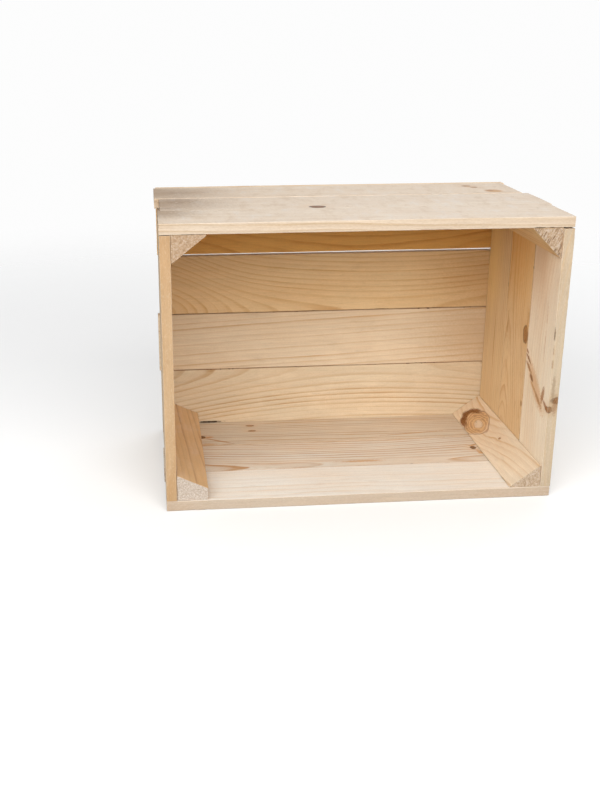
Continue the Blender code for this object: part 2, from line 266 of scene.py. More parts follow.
# ------------------------------------------------------------------ shader expressions
class Tree:
    """Builds math nodes from plain expressions."""

    def __init__(self, nt):
        self.nt = nt
        self.count = 0

    def node(self, kind, **props):
        n = self.nt.nodes.new(kind)
        n.location = (-200 * (self.count % 40), -60 * (self.count // 40))
        self.count += 1
        for k, v in props.items():
            setattr(n, k, v)
        return n

    def plug(self, socket, value):
        if isinstance(value, S):
            self.nt.links.new(value.s, socket)
        else:
            socket.default_value = value

    def math(self, op, *args, clamp=False):
        n = self.node("ShaderNodeMath", operation=op, use_clamp=clamp)
        for i, a in enumerate(args):
            self.plug(n.inputs[i], a)
        return S(self, n.outputs[0])

    def vmath(self, op, *args, out=0):
        n = self.node("ShaderNodeVectorMath", operation=op)
        for i, a in enumerate(args):
            if op == "SCALE" and i == 1:
                self.plug(n.inputs["Scale"], a)
            else:
                self.plug(n.inputs[i], a)
        return S(self, n.outputs["Value"] if op in ("LENGTH", "DOT_PRODUCT") else n.outputs[0])

    def combine(self, x, y, z):
        n = self.node("ShaderNodeCombineXYZ")
        for i, a in enumerate((x, y, z)):
            self.plug(n.inputs[i], a)
        return S(self, n.outputs[0])

    def separate(self, v):
        n = self.node("ShaderNodeSeparateXYZ")
        self.plug(n.inputs[0], v)
        return [S(self, o) for o in n.outputs]

    def noise(self, vec, detail=2.0, rough=0.5, distort=0.0):
        n = self.node("ShaderNodeTexNoise", noise_dimensions="3D")
        self.plug(n.inputs["Vector"], vec)
        n.inputs["Scale"].default_value = 1.0
        n.inputs["Detail"].default_value = detail
        n.inputs["Roughness"].default_value = rough
        n.inputs["Distortion"].default_value = distort
        return S(self, n.outputs["Fac"])

    def smooth(self, a, b, x):
        n = self.node("ShaderNodeMapRange", interpolation_type="SMOOTHSTEP")
        self.plug(n.inputs["Value"], x)
        self.plug(n.inputs["From Min"], a)
        self.plug(n.inputs["From Max"], b)
        n.inputs["To Min"].default_value = 0.0
        n.inputs["To Max"].default_value = 1.0
        return S(self, n.outputs["Result"])

    def mix(self, fac, a, b, mode="MIX"):
        n = self.node("ShaderNodeMix", data_type="RGBA", blend_type=mode)
        n.clamp_factor = True
        self.plug(n.inputs[0], fac)
        for sock, val in ((n.inputs[6], a), (n.inputs[7], b)):
            if isinstance(val, S):
                self.nt.links.new(val.s, sock)
            else:
                sock.default_value = (*val, 1.0)
        return S(self, n.outputs[2])


class S:
    """A socket with arithmetic."""

    def __init__(self, t, s):
        self.t, self.s = t, s

    def __add__(self, o): return self.t.math("ADD", self, o)
    def __radd__(self, o): return self.t.math("ADD", o, self)
    def __sub__(self, o): return self.t.math("SUBTRACT", self, o)
    def __rsub__(self, o): return self.t.math("SUBTRACT", o, self)
    def __mul__(self, o): return self.t.math("MULTIPLY", self, o)
    def __rmul__(self, o): return self.t.math("MULTIPLY", o, self)
    def __truediv__(self, o): return self.t.math("DIVIDE", self, o)
    def __neg__(self): return self.t.math("MULTIPLY", self, -1.0)
    def abs(self): return self.t.math("ABSOLUTE", self)
    def fract(self): return self.t.math("FRACT", self)
    def sqrt(self): return self.t.math("SQRT", self)
    def sin(self): return self.t.math("SINE", self)
    def exp(self): return self.t.math("EXPONENT", self)
    def clamp(self): return self.t.math("ADD", self, 0.0, clamp=True)
    def max(self, o): return self.t.math("MAXIMUM", self, o)
    def min(self, o): return self.t.math("MINIMUM", self, o)
    def pow(self, o): return self.t.math("POWER", self, o)


# ------------------------------------------------------------------ the pine material
def pine(node, grain, lo, hi, knot_axis, across=None):
    """Sawn pine for one piece. grain 0/1/2 is the axis its fibres run along; lo, hi its box in mm."""
    p = WOOD[node]
    mat = bpy.data.materials.new("pine_" + node)
    mat.use_nodes = True
    nt = mat.node_tree
    for n in list(nt.nodes):
        nt.nodes.remove(n)
    t = Tree(nt)
    out = t.node("ShaderNodeOutputMaterial")
    bsdf = t.node("ShaderNodeBsdfPrincipled")
    nt.links.new(bsdf.outputs[0], out.inputs[0])
    coord = t.node("ShaderNodeTexCoord")
    geo = t.node("ShaderNodeNewGeometry")
    P = t.vmath("SCALE", S(t, coord.outputs["Object"]), 1000.0)
    N = S(t, geo.outputs["Normal"])
    x = t.separate(P)
    nrm = t.separate(N)
    g = grain
    a, b = [i for i in (0, 1, 2) if i != g]
    mid = [(lo[i] + hi[i]) / 2 for i in range(3)]
    sd = float(p["seed"]) * 37.13

    u = x[g] - mid[g]
    va = x[a] - mid[a]
    vb = x[b] - mid[b]

    def stretched(su, sa, sb, off):
        """Noise coordinates: su, sa, sb are feature sizes in mm along and across the grain."""
        c = [None, None, None]
        c[g] = u * (1.0 / su) + (sd + off)
        c[a] = va * (1.0 / sa) + (sd * 0.31 + off * 1.7)
        c[b] = vb * (1.0 / sb) + (sd * 0.17 - off)
        return t.combine(*c)

    # --- knots bend the fibres round themselves
    end = nrm[g].abs()
    is_end = t.smooth(0.55, 0.85, end)
    deflect = None
    knots = []
    for i, k in enumerate(p["knots"]):
        ax = Vector(k["axis"] or knot_axis).normalized()
        rel = t.vmath("SUBTRACT", P, tuple(k["c"]))
        along = t.vmath("DOT_PRODUCT", rel, tuple(ax))
        flat = t.vmath("SUBTRACT", rel, t.vmath("SCALE", t.combine(*ax), along))
        squash = [1.0, 1.0, 1.0]
        squash[g] = 1.0 / k["e"]
        flat = t.vmath("MULTIPLY", flat, tuple(squash))
        d = t.vmath("LENGTH", flat)
        wob = t.noise(t.vmath("SCALE", P, 1.0 / max(k["r"] * 0.9, 1.5)), 2.0, 0.5)
        d = d + (wob - 0.5) * (k["r"] * (0.19 if k["kind"] == 3 else 0.45))
        if k["kind"] == 3:
            d = d + (t.noise(t.vmath("SCALE", P, 1.0 / 27.0), 1.0, 0.5) - 0.5) * (k["r"] * 0.55)
        R = k["r"]
        if k["reach"]:
            keep = 1.0 - t.smooth(k["reach"] * 0.6, k["reach"], along.abs())
        else:
            keep = 1.0 - t.smooth(9.0, 14.5, along.abs()) * 0.55      # the knot tapers out through the board
        m = (1.0 - t.smooth(R * 0.86, R * 1.02, d)) * keep
        thin = 0.62 if k["kind"] == 3 else R * 0.07 + 0.25
        edge = (1.0 - t.smooth(thin * 0.4, thin * 1.6, (d - R).abs())) * keep
        halo = ((d / (R * 2.1)) * (d / (R * 2.1)) * -1.0).exp() * keep
        step = R * 0.19 if k["kind"] == 3 else max(R * 0.19, 0.6)
        dr = d
        if k["kind"] == 3:      # its rings crowd together on the side away from the bark
            off = Vector(k["bark"]).normalized() * (R * 0.30)
            dr = t.vmath("LENGTH", t.vmath("ADD", flat, tuple(off))) + (wob - 0.5) * (R * 0.24)
            dr = dr + (t.noise(t.vmath("SCALE", P, 1.0 / 24.0), 1.0, 0.5) - 0.5) * (R * 0.45)
            dr = dr + (t.noise(t.combine(dr * (1.0 / 4.6), 3.3, sd), 1.0, 0.5) - 0.5) * 6.5
        rr = ((dr / step) + (wob - 0.5) * (0.4 if k["kind"] == 3 else 0.9)).fract()
        ring = t.smooth(0.15, 0.75, rr) * (1.0 - t.smooth(0.86, 1.0, rr))
        core = 1.0 - t.smooth(R * 0.10, R * 0.42, dr)
        bark = None
        if k["bark"]:
            bd = Vector(k["bark"]).normalized()
            side = t.vmath("DOT_PRODUCT", flat, tuple(bd)) / R
            bark = t.smooth(-0.05, 0.60, side) * t.smooth(R * 0.68, R * 0.86, d + (wob - 0.5) * (R * 0.5)) \
                * (1.0 - t.smooth(R * 0.98, R * 1.16, d)) * keep
        push = halo * (R * 1.25)
        deflect = push if deflect is None else deflect + push
        knots.append(dict(m=m, edge=edge, halo=halo, ring=ring, core=core, bark=bark, k=k))

    # --- growth rings: distance from the pith, warped
    w1 = t.noise(stretched(260, 70, 70, 3.1), 2.0, 0.45) - 0.5
    w2 = t.noise(stretched(85, 26, 26, 9.4), 2.0, 0.5) - 0.5
    w3 = t.noise(stretched(30, 7, 7, 5.7), 2.0, 0.55) - 0.5
    pa = va - p["pith"][0]
    pb = vb - p["pith"][1]
    r = (pa * pa + pb * pb).sqrt()
    r = r + u * p["slope"] + w1 * (p["wob"] * 3.2) + w2 * (p["wob"] * 0.8) + w3 * 0.9
    if "quad" in p:
        q = u - p["quad"][0]
        r = r + q * q * p["quad"][1]
    for bu, wid, amp in p.get("bend", ()):
        q = (u - bu) * (1.0 / wid)
        r = r + (q * q * -1.0).exp() * amp
    if deflect is not None:
        r = r + deflect
    year = t.noise(t.combine(r * 0.055, sd, 0.0), 1.0, 0.5) - 0.5
    r = r + year * 5.0
    ring = (r / p["gap"]).fract()
    late = t.smooth(0.05, 0.78, ring) * 0.30 + t.smooth(0.55, 0.86, ring) * 0.70
    late = late * (1.0 - t.smooth(0.90, 1.0, ring))
    strength = t.noise(t.combine(r * (0.9 / p["gap"]), sd + 7.0, 1.0), 0.0, 0.5)
    faint = t.noise(stretched(120, 22, 22, 44.0), 1.0, 0.5)
    late = late * (t.smooth(0.22, 0.72, strength) * 1.45 + 0.18) * (t.smooth(0.25, 0.75, faint) * 0.75 + 0.62)
    thin = ((r / p["gap"]) * 3.7 + w2 * 2.0).fract()
    thin = t.smooth(0.45, 0.85, thin) * (1.0 - t.smooth(0.88, 1.0, thin))
    late = late + thin * 0.16
    if p.get("swirl"):
        curl = t.noise(stretched(13, 3.4, 3.4, 21.0), 1.0, 0.5)
        late = late + t.smooth(0.56, 0.66, curl) * p["swirl"]

    # --- fibres, pores and broad colour drift
    fib = t.noise(stretched(34, 0.85, 0.85, 1.3), 3.0, 0.6) - 0.5
    fib2 = t.noise(stretched(90, 2.6, 2.6, 2.9), 2.0, 0.5) - 0.5
    fleck = t.smooth(0.66, 0.80, t.noise(stretched(9, 0.55, 0.55, 8.8), 1.0, 0.5))
    drift = t.noise(stretched(150, 34, 34, 6.6), 2.0, 0.5) - 0.5
    blotch = t.noise(stretched(48, 20, 20, 4.2), 3.0, 0.6) - 0.5
    speck = t.noise(t.vmath("SCALE", P, 1.55), 2.0, 0.75) - 0.5
    speck2 = t.noise(t.vmath("SCALE", P, 0.62), 2.0, 0.6) - 0.5

    early_c, late_c = lin(p["tint"]), lin(p["late"])
    con = p["con"]
    col = t.mix((late * con * (1.0 + fib2 * 1.4)).clamp(), early_c, late_c)
    col = t.mix((drift * 1.5 + 0.5).clamp() * 0.34, col, lin((222, 180, 132)))
    col = t.mix((blotch * 1.9).clamp() * 0.30, col, lin((243, 226, 199)))
    # weathered outer faces: long grey-brown fibres
    if p.get("weather"):
        long1 = t.noise(stretched(190, 1.5, 1.5, 31.0), 2.0, 0.55)
        long2 = t.noise(stretched(70, 0.9, 0.9, 37.0), 1.0, 0.5)
        old = t.smooth(0.50, 0.72, long1) * 0.62 + t.smooth(0.56, 0.74, long2) * 0.38
        col = t.mix(old * p["weather"] * 0.62, col, lin((178, 152, 124)))
    # end grain: darker rings, saw-torn light and dark flecks
    specks = t.noise(t.vmath("SCALE", P, 0.42), 2.0, 0.7) - 0.5
    cut = p.get("cut", dict(base=(206, 184, 158), pale=(228, 216, 202), dark=(146, 112, 80), rings=0.6, tear=0.25, lean=0.8))
    grit = t.noise(t.vmath("SCALE", P, 0.60), 3.0, 0.8) - 0.5
    endcol = t.mix((late * (0.62 * cut["rings"])).clamp(), lin(cut["base"]), lin(cut["dark"]))
    endcol = t.mix((grit * 6.5 + specks * 1.6 + speck * 1.5).clamp() * 0.90, endcol, lin(cut["pale"]))
    endcol = t.mix((grit * -5.2 + specks * -1.4 + speck2 * -0.8 - 0.12).clamp() * 0.75, endcol, lin(cut["dark"]))
    # saw-torn strokes that lean across the cut
    ca, sa_ = math.cos(cut["lean"]), math.sin(cut["lean"])
    stroke = t.noise(t.combine((va * ca + vb * sa_) * (1.0 / 9.0) + sd, (vb * ca - va * sa_) * (1.0 / 1.9), sd), 1.0, 0.5)
    patch = t.smooth(0.34, 0.52, t.noise(t.combine(va * (1.0 / 13.0), vb * (1.0 / 13.0), sd + 9.0), 1.0, 0.5))
    endcol = t.mix((t.smooth(0.52, 0.62, stroke) * patch * cut["tear"]).clamp(), endcol, lin(tuple(c * 0.80 for c in cut["dark"])))
    endcol = t.mix((t.smooth(0.55, 0.66, 1.0 - stroke) * patch * cut["tear"] * 0.8).clamp(), endcol, lin(cut["pale"]))
    col = t.mix(is_end, col, endcol)

    fuzz = t.noise(stretched(2.6, 0.9, 0.9, 51.0), 2.0, 0.7) - 0.5
    shade = 1.0 + fib * 0.30 + fib2 * 0.14 - fleck * 0.10 + blotch * 0.05 + fuzz * 0.23
    shade = shade + is_end * (speck * 0.22 + specks * 0.18)
    col = t.mix(1.0, col, t.combine(shade, shade, shade), "MULTIPLY")

    # --- knots
    knot_relief = None
    spots = None
    wood_n = t.noise(t.vmath("SCALE", P, 0.40), 2.0, 0.6)
    for q in knots:
        k = q["k"]
        big = k["kind"] == 3
        dead = k["kind"] == 1
        col = t.mix(q["halo"] * (0.26 if big else 0.40), col, lin((208, 158, 100)))
        light, line = ((206, 158, 104), (138, 88, 46)) if big else ((176, 122, 68), (112, 66, 32))
        if dead:
            light, line = (138, 96, 62), (72, 44, 28)
        if big:
            kc = t.mix((wood_n * 1.6 - 0.45).clamp(), lin((224, 186, 138)), lin((194, 146, 94)))
            kc = t.mix((q["ring"] * (speck2 * 1.2 + 0.62)).clamp() * 0.85, kc, lin((150, 100, 58)))
            kc = t.mix(q["core"] * 0.70, kc, lin((224, 206, 182)))
        else:
            kc = t.mix(q["ring"] * 0.8, lin(light), lin(line))
        kc = t.mix((speck2 * 1.4 + 0.30).clamp() * (0.18 if big else 0.4), kc, lin((166, 112, 64)))
        shown = q["m"] * k["dark"]
        spots = shown if spots is None else spots.max(shown)
        col = t.mix(shown, col, kc)
        col = t.mix((q["edge"] * (0.95 if dead else 0.55 if big else 0.6)).clamp(), col, lin((54, 34, 20) if dead else (134, 84, 44) if big else (96, 58, 28)))
        crack = t.smooth(0.60, 0.66, t.noise(t.vmath("SCALE", P, 0.22), 2.0, 0.6))
        col = t.mix(crack * shown * (0.25 if big else 0.45), col, lin((66, 40, 22)))
        if q["bark"] is not None:
            col = t.mix((q["bark"] * 0.95).clamp(), col, lin((132, 82, 38)))
            col = t.mix((q["bark"] * t.smooth(0.50, 0.64, wood_n) * 0.8).clamp(), col, lin((84, 48, 24)))
            spots = spots.max(q["bark"])
        rel = q["ring"] * q["m"] * 0.35 - q["edge"] * 1.2
        knot_relief = rel if knot_relief is None else knot_relief + rel

    # --- pitch streaks, stains and nicks
    ragged = t.noise(t.vmath("SCALE", P, 0.36), 3.0, 0.65) - 0.5
    for j, mk in enumerate(p["marks"]):
        unit = [0.0, 0.0, 0.0]
        unit[g] = 1.0
        dv = Vector(mk["d"]).normalized() if mk["d"] else Vector(unit)
        rel = t.vmath("SUBTRACT", P, tuple(mk["c"]))
        run = t.vmath("DOT_PRODUCT", rel, tuple(dv))
        off = t.vmath("LENGTH", t.vmath("SUBTRACT", rel, t.vmath("SCALE", t.combine(*dv), run)))
        run_n = run / (mk["l"] * 0.5)
        off_n = off / (mk["w"] * 0.5)
        d = (run_n * run_n + off_n * off_n).sqrt() + ragged * mk["rough"] * 2.0
        mm = 1.0 - t.smooth(1.0 - mk["soft"], 1.0 + mk["soft"] * 0.35, d)
        if mk["w"] > 60 and across is not None:      # a broad patch lies on one face and doesn't soak through: painted shade and warm bounce light on the inner walls, and the darkening over the left end of the top
            mm = mm * (1.0 - t.smooth(4.0, 9.0, t.vmath("DOT_PRODUCT", rel, knot_axis).abs()))
        if mk["dash"]:
            mm = mm * t.smooth(0.40, 0.56, t.noise(t.combine(run * (1.0 / mk["dash"]), sd + j * 3.0, 2.0), 1.0, 0.5))
        col = t.mix((mm * mk["amt"]).clamp(), col, lin(mk["col"]))
        spots = mm * mk["amt"] if spots is None else spots.max(mm * mk["amt"])

    # --- joints between boards: a thin brown line with short black dashes; lighter free arrises: a painted highlight along them with some handling wear
    ea = t.math("MINIMUM", x[a] - lo[a], hi[a] - x[a])
    eb = t.math("MINIMUM", x[b] - lo[b], hi[b] - x[b])
    eg = t.math("MINIMUM", x[g] - lo[g], hi[g] - x[g])
    rim = (1.0 - t.smooth(0.2, 1.8, ea + (speck2 * 1.6))) * (1.0 - t.smooth(0.2, 1.8, eb + (speck2 * 1.6)))
    col = t.mix(rim * 0.20, col, lin((244, 230, 208)))
    if across is not None:
        low_seam, high_seam = seam_sides(node)
        how = t.noise(t.combine(u * (1.0 / 46.0), sd + 60.0, 4.0), 2.0, 0.6)
        bit = t.smooth(0.60, 0.68, t.noise(t.combine(u * (1.0 / 9.0), sd + 61.0, 5.0), 1.0, 0.5)) * t.smooth(0.48, 0.60, how)
        for flag, e in ((low_seam, x[across] - lo[across]), (high_seam, hi[across] - x[across])):
            if not flag:
                continue
            band = 1.0 - t.smooth(0.35, 1.15, e + speck2 * 0.8)
            seam_c, seam_a = ((166, 142, 116), 0.35) if node.startswith("long_side_top") else ((148, 100, 56), 0.85)
            col = t.mix((band * (how * 1.3 - 0.12)).clamp() * seam_a, col, lin(seam_c))
            col = t.mix(band * bit * (seam_a * 0.9), col, lin((60, 40, 26)))

    # --- round each nail a darker ring: painted shade of the dimple round the head, with a bruised, slightly rusty stain in the wood
    for n in nails:
        ax = n["axis"]
        if ax == g:
            continue
        hd, oo = n["head"], n["out"]
        if not all(lo[i] - 3 < hd[i] < hi[i] + 3 for i in range(3)):
            continue
        rel = t.vmath("SUBTRACT", P, tuple(float(c) for c in hd))
        depth = t.vmath("DOT_PRODUCT", rel, tuple(float(c) for c in oo))
        mask3 = tuple(0.0 if i == ax else 1.0 for i in range(3))
        d = t.vmath("LENGTH", t.vmath("MULTIPLY", rel, mask3))
        dimple_shade_and_bruise = ((d / 4.4) * (d / 4.4) * -1.0).exp() * t.smooth(-4.0, -1.0, depth)
        ring_amount = 0.10 if node.startswith("long_side_top") else 0.30
        col = t.mix((dimple_shade_and_bruise * (ring_amount + speck2 * 0.5)).clamp(), col, lin((132, 100, 72)))

    # --- handling dirt; what faces up made greyer and paler: painted cool sky light together with grey weathering
    grime = t.smooth(0.56, 0.74, t.noise(stretched(30, 9, 9, 12.2), 4.0, 0.65))
    nearend = 1.0 - t.smooth(2.0, 26.0, eg + speck2 * 18.0)
    col = t.mix(grime * 0.16 + nearend * 0.10, col, lin((176, 146, 112)))
    # up-facing faces turned greyer: painted cool sky light on the top, with grey weathering
    if p["grey"] > 0:
        up = t.smooth(0.4, 0.9, nrm[2])
        if spots is not None:
            up = up * (1.0 - (spots * 0.85).clamp())
        weather = (blotch * 0.9 + drift * 0.8 + 0.62).clamp()
        col = t.mix(up * weather * p["grey"] * 1.5, col, lin((214, 205, 196)))
        dusty = up * min(1.0, p["grey"] * 3.2)
        mottle = t.noise(t.combine(x[0] * (1.0 / 16.0), x[1] * (1.0 / 34.0), sd + 71.0), 3.0, 0.65)
        dust = t.noise(t.combine(x[0] * (1.0 / 2.2), x[1] * (1.0 / 6.0), sd + 75.0), 2.0, 0.7)
        col = t.mix(dusty * t.smooth(0.50, 0.72, mottle) * 0.42, col, lin((196, 172, 146)))
        col = t.mix(dusty * t.smooth(0.52, 0.72, 1.0 - mottle) * 0.30, col, lin((222, 218, 214)))
        col = t.mix(dusty * t.smooth(0.54, 0.72, dust) * 0.28, col, lin((190, 164, 136)))
    for way, f in p.get("faces", ()):
        # one face gets its own colour multiplier: the upper back boards' inner faces are darkened and warmed as painted
        # shade, and the right front side board's outer face is darkened back from a tint raised as painted light for
        # its inner face
        that = t.smooth(0.6, 0.9, t.vmath("DOT_PRODUCT", N, way))
        col = t.mix(that, col, t.mix(1.0, col, f, "MULTIPLY"))
    if p.get("rim"):
        # the sawn edge that faces the front is multiplied darker: painted shade, strong on the low, left and right
        # front boards and slight on the top one
        shaded_front_edge = t.smooth(0.6, 0.9, nrm[1] * -1.0)
        f = p["rim"]
        col = t.mix(shaded_front_edge, col, t.mix(1.0, col, f, "MULTIPLY"))
        fluff = t.noise(stretched(3.4, 1.3, 1.3, 83.0), 2.0, 0.7)
        col = t.mix((shaded_front_edge * late * 0.34).clamp(), col, lin(tuple(c * 0.93 for c in p["late"])))
        col = t.mix(shaded_front_edge * t.smooth(0.52, 0.72, fluff) * 0.17, col, lin((236, 222, 202)))
        col = t.mix(shaded_front_edge * t.smooth(0.54, 0.74, 1.0 - fluff) * 0.20, col, lin((172, 136, 100)))
    nt.links.new(col.s, bsdf.inputs["Base Color"])

    rough = 0.66 + fib * 0.18 - late * 0.09 + is_end * 0.14 + blotch * 0.08
    nt.links.new(rough.clamp().s, bsdf.inputs["Roughness"])
    bsdf.inputs["Specular IOR Level"].default_value = 0.17

    # --- relief: fibres, raised late wood, saw marks across the board, torn ends
    saw = (u * (2 * math.pi / 3.1) + w1 * 9.0 + va * 0.05).sin() * 0.5
    sawamt = t.smooth(0.42, 0.66, t.noise(stretched(70, 40, 40, 15.0), 1.0, 0.5))
    height = fib * 1.10 + late * 0.34 + fib2 * 0.6 - fleck * 0.5 + saw * sawamt * 0.16
    endh = speck * 2.2 + grit * 4.2 + speck2 * 1.8 + late * 0.4 + (stroke - 0.5) * patch * cut["tear"] * -4.0
    height = height * (1.0 - is_end) + endh * is_end
    if knot_relief is not None:
        height = height + knot_relief
    bump = t.node("ShaderNodeBump")
    bump.inputs["Strength"].default_value = 0.55
    bump.inputs["Distance"].default_value = 0.00032
    nt.links.new(height.s, bump.inputs["Height"])
    nt.links.new(bump.outputs[0], bsdf.inputs["Normal"])
    return mat


def nail_material(name, dull, rust, shine, metal):
    mat = bpy.data.materials.new(name)
    mat.use_nodes = True
    nt = mat.node_tree
    for n in list(nt.nodes):
        nt.nodes.remove(n)
    t = Tree(nt)
    out = t.node("ShaderNodeOutputMaterial")
    bsdf = t.node("ShaderNodeBsdfPrincipled")
    nt.links.new(bsdf.outputs[0], out.inputs[0])
    coord = t.node("ShaderNodeTexCoord")
    P = t.vmath("SCALE", S(t, coord.outputs["Object"]), 1000.0)
    n1 = t.noise(t.vmath("SCALE", P, 0.9), 3.0, 0.6)
    n2 = t.noise(t.vmath("SCALE", P, 3.4), 2.0, 0.6)
    col = t.mix(t.smooth(0.42, 0.66, n1), lin(dull), lin(rust))
    col = t.mix(t.smooth(0.58, 0.72, n2) * 0.45, col, lin(shine))
    nt.links.new(col.s, bsdf.inputs["Base Color"])
    bsdf.inputs["Metallic"].default_value = metal
    nt.links.new((0.34 + n1 * 0.35).clamp().s, bsdf.inputs["Roughness"])
    bump = t.node("ShaderNodeBump")
    bump.inputs["Strength"].default_value = 0.5
    bump.inputs["Distance"].default_value = 0.0001
    nt.links.new((n2 + n1).s, bump.inputs["Height"])
    nt.links.new(bump.outputs[0], bsdf.inputs["Normal"])
    return mat


# ------------------------------------------------------------------ nails and their holes, read from the frame
HEAD_R, SHANK_R, SINK = 2.4, 1.05, 0.3
nails = []
for name in sorted(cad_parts):
    if not name.startswith("nail_"):
        continue
    blo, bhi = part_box(name)
    blo, bhi = np.array(blo) * 1000, np.array(bhi) * 1000
    c = (blo + bhi) / 2
    if name.startswith("nail_long"):
        axis, sign = 2, (1.0 if "_top_" in name else -1.0)
    elif name.startswith("nail_short"):
        axis, sign = 0, (-1.0 if "_left_" in name else 1.0)
    else:
        axis, sign = 1, 1.0
    outward = np.zeros(3)
    outward[axis] = sign
    head = c.copy()
    head[axis] = bhi[axis] if sign > 0 else blo[axis]
    length = bhi[axis] - blo[axis]
    nails.append(dict(name=name, head=head, out=outward, axis=axis, length=length))


def lathe_mesh(name, profile, sides, wobble=None):
    bm = bmesh.new()
    rings = []
    for r, z in profile:
        if r == 0.0:
            rings.append([bm.verts.new((0.0, 0.0, z))])
            continue
        ring = []
        for k in range(sides):
            th = 2 * math.pi * k / sides
            rr = r if wobble is None else r * wobble(th, z)
            ring.append(bm.verts.new((rr * math.cos(th), rr * math.sin(th), z)))
        rings.append(ring)
    for up, dn in zip(rings, rings[1:]):
        for k in range(sides):
            n = (k + 1) % sides
            loop = []
            for v in (up[k % len(up)], dn[k % len(dn)], dn[n % len(dn)], up[n % len(up)]):
                if v not in loop:
                    loop.append(v)
            bm.faces.new(loop)
    bmesh.ops.recalc_face_normals(bm, faces=bm.faces)
    mesh = bpy.data.meshes.new(name)
    bm.to_mesh(mesh)
    bm.free()
    return mesh


def place_from(nail, tilt=(0.0, 0.0)):
    """Matrix in mm: local +Z is out of the wood, origin on the head's top."""
    up = Vector(nail["out"])
    rot = Vector((0, 0, 1)).rotation_difference(up).to_matrix()
    lean = Matrix.Rotation(tilt[0], 3, "X") @ Matrix.Rotation(tilt[1], 3, "Y")
    return Matrix.Translation(Vector(nail["head"])) @ (rot @ lean).to_4x4()


def add_object(name, mesh):
    obj = bpy.data.objects.new(name, mesh)
    bpy.context.scene.collection.objects.link(obj)
    return obj


# ------------------------------------------------------------------ dense board meshes
def spaced(a, b, step, fine):
    """Sample positions from a to b: the fine offsets at both ends, and about step between."""
    inner0, inner1 = a + fine[-1], b - fine[-1]
    n = max(2, int(round((inner1 - inner0) / step)))
    mid = [inner0 + (inner1 - inner0) * i / n for i in range(n + 1)]
    return np.array([a + f for f in fine[:-1]] + mid + [b - f for f in reversed(fine[:-1])])


def shell(us, vs, ws):
    """Closed box surface on the given sample lines. Returns points (n, 3) and quads."""
    nu, nv, nw = len(us), len(vs), len(ws)
    idx = -np.ones((nu, nv, nw), int)
    on = np.zeros((nu, nv, nw), bool)
    on[0], on[-1] = True, True
    on[:, 0], on[:, -1] = True, True
    on[:, :, 0], on[:, :, -1] = True, True
    idx[on] = np.arange(on.sum())
    i, j, k = np.nonzero(on)
    pts = np.stack([us[i], vs[j], ws[k]], 1)
    quads = []

    def grid(m, flip):
        q = np.stack([m[:-1, :-1], m[1:, :-1], m[1:, 1:], m[:-1, 1:]], -1).reshape(-1, 4)
        quads.append(q[:, ::-1] if flip else q)

    grid(idx[:, :, -1], False)
    grid(idx[:, :, 0], True)
    grid(idx[:, 0, :], False)
    grid(idx[:, -1, :], True)
    grid(idx[0, :, :], True)
    grid(idx[-1, :, :], False)
    return pts, np.concatenate(quads)


def round_pair(p, i, j, lo, hi, rad):
    """Rounds the four edges between axes i and j with radius rad (per point)."""
    q = p.copy()
    for ax in (i, j):
        q[:, ax] = np.clip(p[:, ax], lo[ax] + rad, hi[ax] - rad)
    d = p - q
    length = np.sqrt(d[:, i] ** 2 + d[:, j] ** 2)
    both = (np.abs(d[:, i]) > 1e-9) & (np.abs(d[:, j]) > 1e-9) | (length > rad)
    s = np.where(both & (length > rad), rad / np.maximum(length, 1e-9), 1.0)
    for ax in (i, j):
        p[:, ax] = q[:, ax] + d[:, ax] * s
    return p


